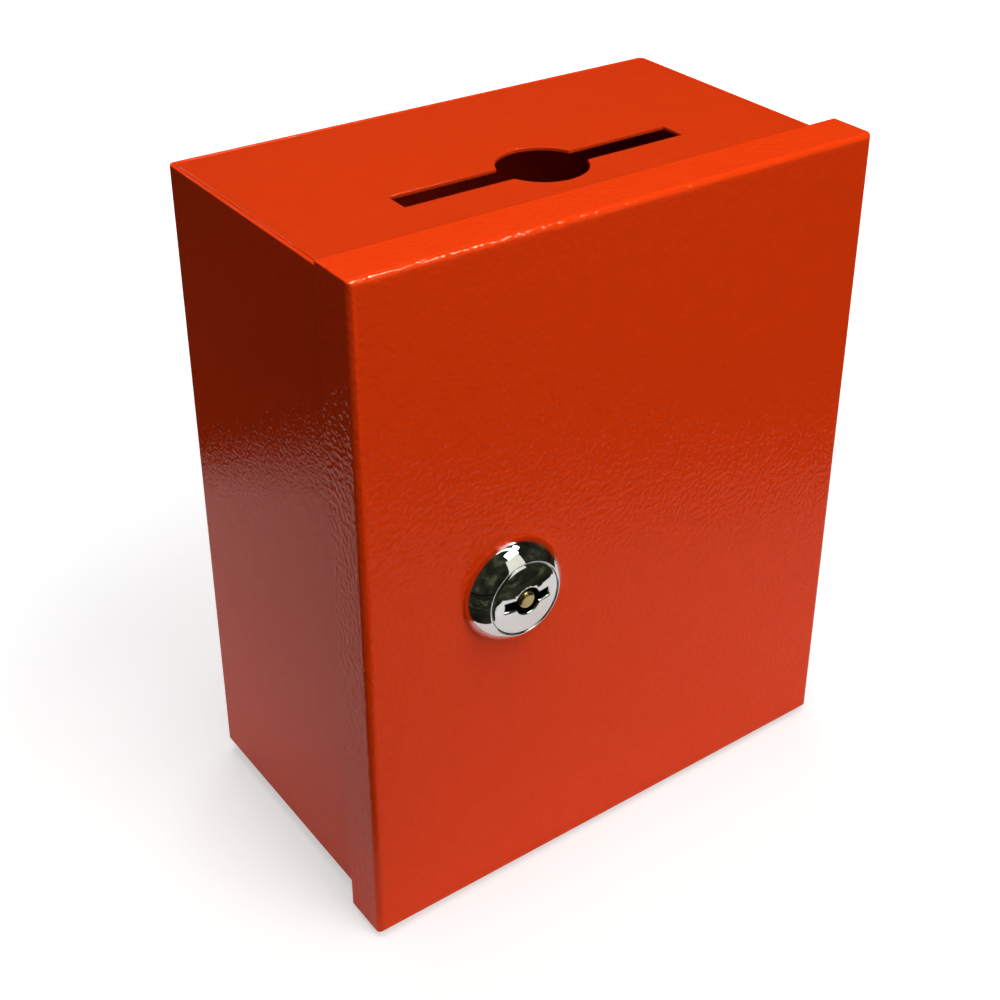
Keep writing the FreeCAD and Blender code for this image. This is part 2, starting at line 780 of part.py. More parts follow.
def make_lock_cam():
    """The tongue, hanging straight down while the door is unlocked."""
    body = new_lock_body("lock_cam")
    half_width = dim.cam_width / 2
    disc = new_sketch(body, lift=cam_front)
    draw_circle(disc, 0, 0, dim.cam_width)
    pad(body, disc, dim.cam_sheet, downwards=True)
    arm = new_sketch(body, lift=cam_front)
    draw_box(arm, -half_width, -cam_reach, half_width, 0)
    pad(body, arm, dim.cam_sheet, downwards=True)
    cut_square_hole(body, cam_front)
    return body


def make_washer(label, front, height, rim, bore):
    """A plain ring on the lock's axis, with a rim of that width round its bore."""
    body = new_lock_body(label)
    ring = new_sketch(body, lift=front)
    draw_circle(ring, 0, 0, bore + 2 * rim)
    draw_circle(ring, 0, 0, bore)
    pad(body, ring, height, downwards=True)
    return body


def make_nut(label, front, height, wall, bore):
    """A hexagon nut on the lock's axis, with a wall of that thickness at the middle of each flat."""
    hexagon = doc.addObject("Part::Prism", "Hexagon")
    hexagon.Polygon = 6
    flats = bore + 2 * wall
    hexagon.setExpression("Circumradius", (flats / math.sqrt(3)).text)
    hole = doc.addObject("Part::Cylinder", "Hole")
    hole.setExpression("Radius", (bore / 2).text)
    for solid in (hexagon, hole):
        solid.setExpression("Height", height.text)
    nut = doc.addObject("Part::Cut", "Nut")
    nut.Label = label
    nut.Base = hexagon
    nut.Tool = hole
    nut.Placement = FreeCAD.Placement(FreeCAD.Vector(), FreeCAD.Rotation(FreeCAD.Vector(1, 0, 0), 90))
    put(nut, lock_x, height - front, lock_z)
    SUBPARTS.append(nut)
    return nut


make_case_wrap()
make_top_panel()
make_bottom_panel()
make_strike()
for place, (foot_x, foot_y) in foot_places.items():
    make_foot(place, foot_x, foot_y)
make_door_panel()
for hinge_name, hinge_middle in hinge_middles.items():
    make_hinge(hinge_name, hinge_middle)
make_lock_housing()
make_washer("lock_washer", -dim.door_sheet, dim.lock_washer_sheet, dim.lock_washer_rim, barrel_dia)
make_nut("lock_nut", lock_nut_front, dim.lock_nut_height, dim.lock_nut_wall, barrel_dia)
make_lock_plug()
make_key_post()
for wafer_number in range(1, WAFERS + 1):
    make_wafer(wafer_number)
make_stop_washer()
make_lock_cam()
make_washer("spring_washer", cam_back, dim.spring_washer_height, dim.spring_washer_rim, dim.stud_dia)
make_nut("cam_nut", cam_nut_front, dim.cam_nut_height, dim.cam_nut_wall, dim.stud_dia)
doc.recompute()

# Every object is sound before anything is written
for thing in doc.Objects:
    if {"Invalid", "Error"} & set(thing.State):
        raise RuntimeError("%s failed: %s" % (thing.Label, thing.State))
for subpart in SUBPARTS:
    shape = subpart.Shape
    if shape.isNull() or not shape.isValid() or len(shape.Solids) != 1:
        raise RuntimeError("%s is not one sound solid" % subpart.Label)

os.makedirs("parts", exist_ok=True)
for subpart in SUBPARTS:
    subpart.Shape.exportStep("parts/%s.step" % subpart.Label)
    box = subpart.Shape.BoundBox
    print("%-24s %9.1f mm3  x %7.2f %7.2f  y %7.2f %7.2f  z %7.2f %7.2f" % (
        subpart.Label, subpart.Shape.Volume, box.XMin, box.XMax, box.YMin, box.YMax, box.ZMin, box.ZMax))
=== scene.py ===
# %% [markdown]
# # A small steel donation box
# The box is a folded steel case with a slotted top, closed by a tray-shaped door with a round cam
# lock. The CAD model already gives every sheet its size and place, so this lesson only dresses it:
# rounded paint edges, a bumpy powder coat, a chrome lock head, turned and threaded details.
# Everything is in metres and in the CAD model's own frame, so no piece has to be fitted by eye.

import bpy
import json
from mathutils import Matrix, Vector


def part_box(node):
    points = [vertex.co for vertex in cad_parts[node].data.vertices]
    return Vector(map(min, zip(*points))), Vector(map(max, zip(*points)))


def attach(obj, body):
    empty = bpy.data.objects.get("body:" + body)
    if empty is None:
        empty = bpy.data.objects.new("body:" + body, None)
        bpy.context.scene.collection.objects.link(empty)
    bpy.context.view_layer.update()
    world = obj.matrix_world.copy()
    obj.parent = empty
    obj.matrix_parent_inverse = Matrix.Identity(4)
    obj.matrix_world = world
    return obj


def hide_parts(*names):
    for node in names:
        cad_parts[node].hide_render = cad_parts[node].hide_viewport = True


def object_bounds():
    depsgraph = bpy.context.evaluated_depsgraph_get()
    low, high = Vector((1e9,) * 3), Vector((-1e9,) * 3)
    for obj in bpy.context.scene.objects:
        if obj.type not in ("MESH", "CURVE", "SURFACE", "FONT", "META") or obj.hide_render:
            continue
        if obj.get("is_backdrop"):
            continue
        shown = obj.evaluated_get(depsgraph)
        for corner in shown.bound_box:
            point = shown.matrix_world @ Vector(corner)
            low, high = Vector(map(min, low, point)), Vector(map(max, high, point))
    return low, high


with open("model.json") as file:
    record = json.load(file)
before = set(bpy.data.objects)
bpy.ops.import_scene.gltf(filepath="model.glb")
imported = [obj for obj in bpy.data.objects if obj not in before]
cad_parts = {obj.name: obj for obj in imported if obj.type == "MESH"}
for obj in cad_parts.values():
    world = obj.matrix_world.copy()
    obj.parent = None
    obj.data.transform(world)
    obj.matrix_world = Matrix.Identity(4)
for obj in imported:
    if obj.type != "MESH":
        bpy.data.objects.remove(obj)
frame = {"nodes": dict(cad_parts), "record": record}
cad_low, cad_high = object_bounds()
print("CAD box in mm:", [round(side * 1000, 1) for side in cad_high - cad_low])

# %% [markdown]
# ## Camera
# The photograph was taken from the left, above and quite near. A camera fit to the corners of the
# door and the case gave its place, and it showed that the picture was cropped, because the lens axis
# isn't at the middle of the frame. Blender's lens shift does the same as such a crop.

# %% Camera
from math import cos, pi, radians, sin, sqrt, tau
import bmesh
import bpy
from mathutils import Matrix, Vector

MM = 0.001
WELD = 0.001 * MM  # points nearer than this are one
PICTURE = 1000  # pixels along each side of the frame
LENS_AXIS_AT = (566, 392)
FOCAL_LENGTH = 1628.4  # in pixels of that frame
SENSOR = 36
CAMERA_FROM_DOOR = Vector((-241.37, -281.24, 353.35)) * MM
CAMERA_TURN = radians(38.00)
CAMERA_DIP = radians(29.28)
CAMERA_ROLL = radians(1.30)

scene = bpy.context.scene
scene.view_settings.view_transform = "Standard"
door_low, door_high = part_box("door_panel")
door_foot = Vector(((door_low.x + door_high.x) / 2, door_low.y, door_low.z))
level = Vector((sin(CAMERA_TURN), cos(CAMERA_TURN), 0)) * cos(CAMERA_DIP)
looking = level - Vector((0, 0, sin(CAMERA_DIP)))

camera_data = bpy.data.cameras.new("photo_camera")
camera_data.sensor_width = SENSOR
camera_data.lens = SENSOR * FOCAL_LENGTH / PICTURE
camera_data.shift_x = 0.5 - LENS_AXIS_AT[0] / PICTURE
camera_data.shift_y = LENS_AXIS_AT[1] / PICTURE - 0.5
camera = bpy.data.objects.new("photo_camera", camera_data)
camera.location = door_foot + CAMERA_FROM_DOOR
aim = looking.to_track_quat("-Z", "Y").to_matrix() @ Matrix.Rotation(CAMERA_ROLL, 3, "Z")
camera.rotation_euler = aim.to_euler()
scene.collection.objects.link(camera)
scene.camera = camera
print("camera at", [round(x, 3) for x in camera.location], "lens", round(camera_data.lens, 1), "mm")

# %% [markdown]
# ## Finishes in general
# Each finish is a node tree on one Principled shader. All of them read Object coordinates, which are
# metres here, so the scale of a noise is the number of lumps in a metre. Image textures would show more
# but stretch on cut edges, and noises don't. A few small helpers keep the trees short: they start a finish,
# add a noise on those coordinates, and turn its grey value into a range, a ramp of colours or bumps.

# %% Node helpers
NOISE_LOW, NOISE_HIGH = 0.3, 0.7  # where most of a noise lies


def add_node(tree, kind, **sockets):
    """Add a node and set the sockets named, with a space where the name has a low line."""
    made = tree.nodes.new(kind)
    for socket, value in sockets.items():
        made.inputs[socket.replace("_", " ")].default_value = value
    return made


def start_finish(name, **sockets):
    """A new material, its node tree and its Principled shader with the sockets named set."""
    finish = bpy.data.materials.new(name)
    finish.use_nodes = True
    shader = finish.node_tree.nodes["Principled BSDF"]
    for socket, value in sockets.items():
        shader.inputs[socket.replace("_", " ")].default_value = value
    return finish, finish.node_tree, shader


def lumps(tree, per_metre, detail=2.0, swirl=0.0, stretch=(1, 1, 1)):
    """The grey value of a noise, with so many lumps in a metre along each axis."""
    place = tree.nodes.new("ShaderNodeTexCoord")
    squeeze = add_node(tree, "ShaderNodeMapping", Scale=stretch)
    noise = add_node(tree, "ShaderNodeTexNoise", Scale=per_metre, Detail=detail, Distortion=swirl)
    tree.links.new(place.outputs["Object"], squeeze.inputs["Vector"])
    tree.links.new(squeeze.outputs["Vector"], noise.inputs["Vector"])
    return noise.outputs["Fac"]


def spread(tree, value, low, high):
    """Map the middle range of a noise to the values from low to high."""
    span = add_node(tree, "ShaderNodeMapRange", From_Min=NOISE_LOW, From_Max=NOISE_HIGH,
                    To_Min=low, To_Max=high)
    tree.links.new(value, span.inputs["Value"])
    return span.outputs["Result"]


def shades(tree, value, *colours):
    """Run a value through a ramp of colours at even steps over the middle range of a noise."""
    ramp = tree.nodes.new("ShaderNodeValToRGB")
    steps = ramp.color_ramp.elements
    while len(steps) < len(colours):
        steps.new(0.5)
    for number, colour in enumerate(colours):
        share = number / (len(colours) - 1)
        steps[number].position = NOISE_LOW + (NOISE_HIGH - NOISE_LOW) * share
        steps[number].color = (*colour, 1)
    tree.links.new(value, ramp.inputs["Fac"])
    return ramp.outputs["Color"]


def raise_bumps(tree, shader, height, millimetres, below=None):
    """Turn a grey value into bumps of so many millimetres, on top of the bumps below."""
    bump = add_node(tree, "ShaderNodeBump", Distance=millimetres * MM)
    tree.links.new(height, bump.inputs["Height"])
    if below:
        tree.links.new(below, bump.inputs["Normal"])
    tree.links.new(bump.outputs["Normal"], shader.inputs["Normal"])
    return bump.outputs["Normal"]


print("node helpers ready")

# %% [markdown]
# ## Red powder coat
# The sheets are powder coated: a thick glossy orange-red skin that melts on in the oven and sets in fine
# pebbles, like soft leather. A large noise gives the slight waves of thin sheet, a fine one the pebbles,
# and the colour hardly changes. The pebbles could be modelled, but a bump of a tenth of a millimetre does
# the same to a mirror image. They are about a millimetre apart on the case, wider and higher on the door,
# and lower on the loose top. Its red is a shade deeper, which is painted shade: the top lies darker in that
# light. A trace of metal and a warm tint colour what the paint mirrors, as its orange pigment does.

# %% Red powder coat
SHEET_RED = (0.80, 0.047, 0.004)
# painted shade: the top's red is a shade deeper than the sheets' red, so the top looks darker than the door
# under the same light
SHADED_TOP_RED = (0.65, 0.040, 0.004)
WARM = (1.0, 0.85, 0.60, 1.0)
PALER, DEEPER = 1.02, 0.98
COLOUR_LUMPS = 160
GLOSS_LUMPS = 700
GLOSS = (0.03, 0.06)
SHEET_WAVES = 28
WAVE_HEIGHT = 0.05


def powder_coat(name, red, pebbles, height):
    """Glossy red paint with so many pebbles in a metre, so many millimetres high."""
    finish, tree, shader = start_finish(name, Metallic=0.06, Specular_IOR_Level=0.12, Specular_Tint=WARM)
    paler = [PALER * channel for channel in red]
    deeper = [DEEPER * channel for channel in red]
    tree.links.new(shades(tree, lumps(tree, COLOUR_LUMPS, 4), deeper, paler), shader.inputs["Base Color"])
    tree.links.new(spread(tree, lumps(tree, GLOSS_LUMPS, 2), *GLOSS), shader.inputs["Roughness"])
    waves = raise_bumps(tree, shader, lumps(tree, SHEET_WAVES, 1), WAVE_HEIGHT)
    raise_bumps(tree, shader, lumps(tree, pebbles, 1), height, waves)
    return finish


case_coat = powder_coat("case_red_coat", SHEET_RED, 1050, 0.13)
door_coat = powder_coat("door_red_coat", SHEET_RED, 660, 0.25)
# painted shade: the loose top gets the deeper red, which stands in for the darker light on it
shaded_top_coat = powder_coat("shaded_top_red_coat", SHADED_TOP_RED, 1050, 0.09)
print("coats:", case_coat.name, door_coat.name, shaded_top_coat.name)

# %% [markdown]
# ## Studio
# The box stands at one end of a white table. The floor is a pale lit sheet that keeps the shadow of the
# box. It also glows for the camera, more the farther it is from the box, so that the picture's ground is
# white, and a little for mirror rays. In the photograph the paint and the chrome mirror the table only up
# to its edges, and a dark room beyond them, which gives the glittering band half-way up the door. Three
# dark cards lie where that table ends. The camera doesn't see them, they throw no shadow, and from below
# they are clear, so the floor under them stays lit.

# %% Floor
FLOOR_HALF = 2.5
FLOOR_GREY = 0.60
FLOOR_DROP = 0.1  # so that the feet don't share its plane
GLOW_NEAR = 0.50
GLOW_FAR = 1.0
GLOW_REACH = (0.16, 0.60)  # from the middle of the floor
MIRROR_SHARE = 0.25  # how much of the glow the mirror rays get


def rays_in_picture(tree, mirror_share):
    """One for camera and see-through rays, a share for mirror rays and nought for the rest."""
    path = tree.nodes.new("ShaderNodeLightPath")
    mirrored = tree.nodes.new("ShaderNodeMath")
    mirrored.operation = "MULTIPLY"
    mirrored.inputs[1].default_value = mirror_share
    tree.links.new(path.outputs["Is Glossy Ray"], mirrored.inputs[0])
    seen = mirrored.outputs["Value"]
    for ray in ("Is Camera Ray", "Is Transmission Ray"):
        either = tree.nodes.new("ShaderNodeMath")
        either.operation = "MAXIMUM"
        tree.links.new(seen, either.inputs[0])
        tree.links.new(path.outputs[ray], either.inputs[1])
        seen = either.outputs["Value"]
    return seen


def level_sheet(name, finish, width, depth, middle, turn=0.0):
    """A level sheet of the stage, turned about the middle of the floor."""
    shape = bmesh.new()
    bmesh.ops.create_grid(shape, x_segments=1, y_segments=1, size=0.5)
    bmesh.ops.scale(shape, vec=(width, depth, 1), verts=shape.verts)
    bmesh.ops.translate(shape, vec=middle, verts=shape.verts)
    bmesh.ops.rotate(shape, cent=(0, 0, 0), matrix=Matrix.Rotation(turn, 3, "Z"), verts=shape.verts)
    mesh = bpy.data.meshes.new(name)
    shape.to_mesh(mesh)
    shape.free()
    mesh.materials.append(finish)
    sheet = bpy.data.objects.new(name, mesh)
    scene.collection.objects.link(sheet)
    sheet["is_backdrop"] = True
    return sheet


white_floor, tree, shader = start_finish("white_floor", Roughness=1, Specular_IOR_Level=0)
shader.inputs["Base Color"].default_value = (FLOOR_GREY, FLOOR_GREY, FLOOR_GREY, 1)
shader.inputs["Emission Color"].default_value = (1, 1, 1, 1)
place = tree.nodes.new("ShaderNodeTexCoord")
away = tree.nodes.new("ShaderNodeVectorMath")
away.operation = "LENGTH"
glow = add_node(tree, "ShaderNodeMapRange", From_Min=GLOW_REACH[0], From_Max=GLOW_REACH[1],
                To_Min=GLOW_NEAR, To_Max=GLOW_FAR)
shown = tree.nodes.new("ShaderNodeMath")
shown.operation = "MULTIPLY"
tree.links.new(place.outputs["Object"], away.inputs[0])
tree.links.new(away.outputs["Value"], glow.inputs["Value"])
tree.links.new(glow.outputs["Result"], shown.inputs[0])
tree.links.new(rays_in_picture(tree, MIRROR_SHARE), shown.inputs[1])
tree.links.new(shown.outputs["Value"], shader.inputs["Emission Strength"])
level_sheet("floor", white_floor, 2 * FLOOR_HALF, 2 * FLOOR_HALF, (0, 0, -FLOOR_DROP * MM))
print("white floor of", 2 * FLOOR_HALF, "m")

# %% Dark cards round the table
CARD_WIDE = 4.5
CARD_LONG = 9.0
CARD_LIFTS = (0.5 * MM, 0.6 * MM, 0.7 * MM)  # apart, because they overlap
FRONT_END = (-0.209, radians(24.9))  # how far the table reaches, and how its edge is turned
BACK_END = (0.252, radians(28.6))
LEFT_END = (-0.125, radians(28.6))

ROOM_SHADES = ((0.006, 0.006, 0.004), (0.014, 0.014, 0.009), (0.026, 0.028, 0.017), (0.080, 0.085, 0.052))
CARD_LUMPS = 9

dark_room, tree, shader = start_finish("dark_room", Roughness=1, Specular_IOR_Level=0)
tree.links.new(shades(tree, lumps(tree, CARD_LUMPS, 4, 1.0), *ROOM_SHADES), shader.inputs["Base Color"])
side = tree.nodes.new("ShaderNodeNewGeometry")
clear = tree.nodes.new("ShaderNodeBsdfTransparent")
either = tree.nodes.new("ShaderNodeMixShader")
tree.links.new(side.outputs["Backfacing"], either.inputs[0])
tree.links.new(shader.outputs["BSDF"], either.inputs[1])
tree.links.new(clear.outputs["BSDF"], either.inputs[2])
tree.links.new(either.outputs["Shader"], tree.nodes["Material Output"].inputs["Surface"])
for name, size, middle, turn in (
    ("front_card", (CARD_LONG, CARD_WIDE), (0, FRONT_END[0] - CARD_WIDE / 2, CARD_LIFTS[0]), FRONT_END[1]),
    ("back_card", (CARD_LONG, CARD_WIDE), (0, BACK_END[0] + CARD_WIDE / 2, CARD_LIFTS[1]), BACK_END[1]),
    ("left_card", (CARD_WIDE, CARD_LONG), (LEFT_END[0] - CARD_WIDE / 2, 0, CARD_LIFTS[2]), LEFT_END[1]),
):
    card = level_sheet(name, dark_room, *size, middle, turn)
    card.visible_camera = False
    card.visible_shadow = False
print("three dark cards where the table ends")

# %% [markdown]
# ## Light
# In the photograph ceiling panels show as bright panes on the chrome, a cream wall stands in front, and
# light thrown back by the room and the table fills the rest. Area lamps stand for all of these. The ones
# for thrown-back light are hidden from mirror rays, because a room has no such panes. One ceiling pane and
# two small windows do the opposite: they light nothing, and only show as glints. The front wall and its
# wide bounce hang at two distances, because lamps in one place hide each other. The world is white for
# the camera, a dark green-grey room for mirror rays, and a little even light for the rest.

# %% Lamps and world
ROOM_LIGHT = 0.18
ROOM_LUMPS = 2.2
MIX_FIRST, MIX_SECOND, MIX_RESULT = 6, 7, 2  # the colour sockets of a Mix node
CREAM = (1.0, 0.98, 0.88)
WHITE = (1.0, 1.0, 1.0)
box_middle = (cad_low + cad_high) / 2


def hang_lamp(name, towards, far, size, brightness, colour=WHITE, lit=True, mirrored=True):
    """An area lamp so far from the box that lights a white card there to a brightness."""
    lamp_data = bpy.data.lights.new(name, "AREA")
    lamp_data.shape = "RECTANGLE"
    lamp_data.size, lamp_data.size_y = size
    lamp_data.energy = brightness * pi ** 2 * far ** 2
    lamp_data.color = colour
    turn = Vector(towards).to_track_quat("Z", "Y")
    lamp = bpy.data.objects.new(name, lamp_data)
    lamp.rotation_euler = turn.to_euler()
    lamp.location = box_middle + turn @ Vector((0, 0, far))
    lamp.visible_camera = False
    lamp.visible_diffuse = lit
    lamp.visible_glossy = mirrored
    scene.collection.objects.link(lamp)
    print(name, round(lamp_data.energy, 2), "W")


hang_lamp("ceiling_back", (0.12, 0.33, 0.94), 1.2, (0.50, 0.35), 0.20)
hang_lamp("ceiling_middle", (-0.04, -0.083, 0.995), 1.3, (0.90, 0.13), 0.05, lit=False)
hang_lamp("ceiling_front", (0.15, -0.42, 0.90), 1.2, (0.50, 0.35), 0.25)
hang_lamp("overhead", (-0.06, -0.05, 1.0), 1.2, (0.50, 0.50), 0.365, mirrored=False)
hang_lamp("front_wall", (0.19, -0.85, 0.50), 1.4, (0.75, 1.30), 0.14, CREAM)
hang_lamp("front_bounce", (0.19, -0.85, 0.50), 1.6, (0.85, 1.50), 0.22, CREAM, mirrored=False)
hang_lamp("front_fill", (-0.22, -0.75, 0.65), 0.55, (0.30, 0.30), 0.10, mirrored=False)
hang_lamp("left_reflector", (-0.90, 0.05, -0.34), 0.26, (0.12, 0.06), 0.06, mirrored=False)
hang_lamp("right_window", (0.37, -0.225, 0.90), 1.26, (0.16, 0.22), 0.60, lit=False)
hang_lamp("back_window", (-0.25, 0.79, 0.56), 1.2, (0.05, 0.05), 0.04, lit=False)

world = bpy.data.worlds.new("dim_room")
scene.world = world
world.use_nodes = True
tree = world.node_tree
sky = tree.nodes["Background"]
path = tree.nodes.new("ShaderNodeLightPath")
way = tree.nodes.new("ShaderNodeTexCoord")
blotches = add_node(tree, "ShaderNodeTexNoise", Scale=ROOM_LUMPS, Detail=4)
tree.links.new(way.outputs["Generated"], blotches.inputs["Vector"])
room = tree.nodes.new("ShaderNodeMix")
room.data_type = "RGBA"
room.inputs[MIX_FIRST].default_value = (ROOM_LIGHT, ROOM_LIGHT, ROOM_LIGHT, 1)
tree.links.new(path.outputs["Is Glossy Ray"], room.inputs[0])
tree.links.new(shades(tree, blotches.outputs["Fac"], *ROOM_SHADES), room.inputs[MIX_SECOND])
seen = tree.nodes.new("ShaderNodeMix")
seen.data_type = "RGBA"
seen.inputs[MIX_SECOND].default_value = (1, 1, 1, 1)
tree.links.new(rays_in_picture(tree, 0.0), seen.inputs[0])
tree.links.new(room.outputs[MIX_RESULT], seen.inputs[MIX_FIRST])
tree.links.new(seen.outputs[MIX_RESULT], sky.inputs["Color"])
print("world:", world.name)

# %% [markdown]
# ## Metals and rubber
# The lock head is chrome plate, a near-perfect mirror with very slight waves. Its fixings are zinc
# plated, which is duller and a little cloudy, the key post and the wafers are plain brass, the hinge
# pins are drawn steel with streaks along the wire, and the feet are matt black rubber.

# %% Chrome, zinc, brass, steel and rubber
STREAKS = 5  # in each cloud
GRAINS = 40  # in each wave
GRAIN_HEIGHT = 0.02  # of a wave's
ALONG_WIRE = (1, 1, 0.04)


def metal(name, dark, light, gloss, cloud, wave, wave_mm, stretch=(1, 1, 1)):
    """A metal whose colour and gloss vary in clouds, with waves of so many millimetres."""
    finish, tree, shader = start_finish(name, Metallic=1.0)
    clouds = lumps(tree, cloud, 4, stretch=stretch)
    tree.links.new(shades(tree, clouds, dark, light), shader.inputs["Base Color"])
    streaks = spread(tree, lumps(tree, STREAKS * cloud, 3, stretch=stretch), *gloss)
    tree.links.new(streaks, shader.inputs["Roughness"])
    waves = raise_bumps(tree, shader, lumps(tree, wave, 1, stretch=stretch), wave_mm)
    grain = lumps(tree, GRAINS * wave, 3, stretch=stretch)
    raise_bumps(tree, shader, grain, GRAIN_HEIGHT * wave_mm, waves)
    return finish


chrome = metal("polished_chrome", (0.76, 0.78, 0.77), (0.84, 0.85, 0.84), (0.02, 0.05), 150, 70, 0.03)
zinc = metal("bright_zinc", (0.52, 0.54, 0.57), (0.70, 0.68, 0.64), (0.22, 0.42), 220, 500, 0.02)
brass = metal("turned_brass", (0.38, 0.31, 0.12), (0.55, 0.46, 0.20), (0.12, 0.24), 300, 400, 0.01)
steel = metal("drawn_steel", (0.36, 0.36, 0.37), (0.56, 0.55, 0.54), (0.25, 0.45), 600, 900, 0.01,
              ALONG_WIRE)

rubber, tree, shader = start_finish("matt_rubber", Specular_IOR_Level=0.4)
tree.links.new(shades(tree, lumps(tree, 400, 4), (0.010, 0.010, 0.011), (0.028, 0.027, 0.026)),
               shader.inputs["Base Color"])
tree.links.new(spread(tree, lumps(tree, 900, 3), 0.62, 0.85), shader.inputs["Roughness"])
raise_bumps(tree, shader, lumps(tree, 1800, 3), 0.04)
print("finishes:", [finish.name for finish in (chrome, zinc, brass, steel, rubber)])

# %% [markdown]
# ## Painted sheets
# The CAD sheets have the right shape, but their cut edges are razor sharp, and thick paint always rounds
# an edge. A copy of each CAD mesh is merged, its flat faces are joined and its sharp edges bevelled, so
# that the edges catch the light as painted ones do. The copy then stands for the CAD node.

# %% Helpers for finished pieces
bodies = frame["record"]["behaviour"]["bodies"]
body_of = {node: body for body, nodes in bodies.items() for node in nodes}


def finish_piece(name, shape, finish, *nodes, crease=35, replace=True):
    """Make a bmesh a piece that rides with the CAD nodes named, in their stead."""
    mesh = bpy.data.meshes.new(name)
    shape.to_mesh(mesh)
    shape.free()
    mesh.materials.append(finish)
    mesh.shade_smooth()
    mesh.set_sharp_from_angle(angle=radians(crease))
    piece = bpy.data.objects.new(name, mesh)
    scene.collection.objects.link(piece)
    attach(piece, body_of[nodes[0]])
    if replace:
        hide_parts(*nodes)
    return piece


def middle_of(node):
    """The middle of a CAD node's box."""
    low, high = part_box(node)
    return (low + high) / 2


def merged_copy(node):
    """A copy of a CAD node's mesh with its triangles joined into whole faces."""
    shape = bmesh.new()
    shape.from_mesh(frame["nodes"][node].data)
    bmesh.ops.remove_doubles(shape, verts=shape.verts, dist=WELD)
    bmesh.ops.dissolve_limit(shape, angle_limit=radians(1), verts=shape.verts, edges=shape.edges)
    return shape


def round_off(shape, edges, radius, steps=3):
    """Bevel edges to a round of so many millimetres."""
    bmesh.ops.bevel(shape, geom=edges, offset=radius * MM, offset_type="OFFSET", affect="EDGES",
                    segments=steps, profile=0.5, material=-1, clamp_overlap=True)


def sharp_edges(shape, sharper_than=40):
    """The edges at which two faces meet at more than so many degrees."""
    inner = [edge for edge in shape.edges if edge.is_manifold]
    return [edge for edge in inner if edge.calc_face_angle() > radians(sharper_than)]


def rounded_copy(node, finish, radius, name):
    """A copy of a CAD node with all its sharp edges rounded."""
    shape = merged_copy(node)
    round_off(shape, sharp_edges(shape), radius)
    piece = finish_piece(name, shape, finish, node, crease=80)
    piece.modifiers.new("flat_faces", "WEIGHTED_NORMAL").keep_sharp = True
    return piece


print("bodies:", sorted(bodies))

# %% Sheets of the case and hinge leaves
for node, finish, radius in (
    ("case_wrap", case_coat, 0.35),
    ("top_panel", shaded_top_coat, 0.30),
    ("bottom_panel", case_coat, 0.30),
    ("strike", case_coat, 0.35),
    ("upper_hinge_case_leaf", case_coat, 0.40),
    ("lower_hinge_case_leaf", case_coat, 0.40),
    ("upper_hinge_door_leaf", door_coat, 0.40),
    ("lower_hinge_door_leaf", door_coat, 0.40),
):
    piece = rounded_copy(node, finish, radius, "painted_" + node)
    print(piece.name, len(piece.data.polygons), "faces")

# %% [markdown]
# ## Door tray
# The tray is bent from one sheet: its front edges are soft bends, while the flanges meet at crisp corners.
# Rounded CAD corners would look moulded, so the tray is folded anew from a cube without its back, in
# the CAD door's box: the front edges get the bend, the hole for the lock is filled round, the skin gets
# the sheet's thickness, and last come the thin rounds of the paint.

# %% Door tray
DOOR_BEND = 2.2
BEND_STEPS = 8
HOLE_STEPS = 48
DOOR_SHEET = 1.2
PAINT_ROUND = 0.35
LOCK_HOLE = 11.1


def near_level(edge, axis, level):
    """True for an edge whose ends both lie at a level along an axis."""
    return all(abs(vert.co[axis] - level) < 0.01 * MM for vert in edge.verts)


lock_at = middle_of("lock_plug")
shape = bmesh.new()
bmesh.ops.create_cube(shape, size=1)
bmesh.ops.scale(shape, vec=door_high - door_low, verts=shape.verts)
bmesh.ops.translate(shape, vec=(door_low + door_high) / 2, verts=shape.verts)
bmesh.ops.delete(shape, geom=[face for face in shape.faces if face.normal.y > 0.9], context="FACES_ONLY")
round_off(shape, [edge for edge in shape.edges if near_level(edge, 1, door_low.y)], DOOR_BEND, BEND_STEPS)
front = max(shape.faces, key=lambda face: -face.normal.y * face.calc_area())
front_rim = front.edges[:]
bmesh.ops.delete(shape, geom=[front], context="FACES_ONLY")
hole_at = Matrix.Translation((lock_at.x, door_low.y, lock_at.z)) @ Matrix.Rotation(pi / 2, 4, "X")
circle = bmesh.ops.create_circle(shape, radius=LOCK_HOLE * MM, segments=HOLE_STEPS, matrix=hole_at)
hole_rim = list({edge for vert in circle["verts"] for edge in vert.link_edges})
bmesh.ops.triangle_fill(shape, edges=front_rim + hole_rim, use_beauty=True, normal=(0, -1, 0))
bmesh.ops.recalc_face_normals(shape, faces=shape.faces)
if sum(face.normal.y * face.calc_area() for face in shape.faces) > 0:
    bmesh.ops.reverse_faces(shape, faces=shape.faces)
bmesh.ops.solidify(shape, geom=shape.faces[:], thickness=DOOR_SHEET * MM)
print("door:", len(shape.faces), "faces, open edges:", sum(edge.is_boundary for edge in shape.edges))
ends = [[pick(vert.co[axis] for vert in shape.verts) for pick in (min, max)] for axis in range(3)]
print("door box in mm:", [[round(x / MM, 2) for x in pair] for pair in ends])
round_off(shape, sharp_edges(shape, 50), PAINT_ROUND)
door = finish_piece("painted_door_panel", shape, door_coat, "door_panel", crease=80)
door.modifiers.new("flat_faces", "WEIGHTED_NORMAL").keep_sharp = True

# %% [markdown]
# ## Turned pieces
# The lock head, the key post, the washers, the hinge pins and the feet are all round, so each is half an
# outline spun about its axis. An outline is a few corners, each with its own rounding, which a vertex
# bevel turns into an arc before the spin.

# %% Helper for turned pieces
UP = Vector((0, 0, 1))
FRONT = Vector((0, -1, 0))
ARC_STEPS = 6


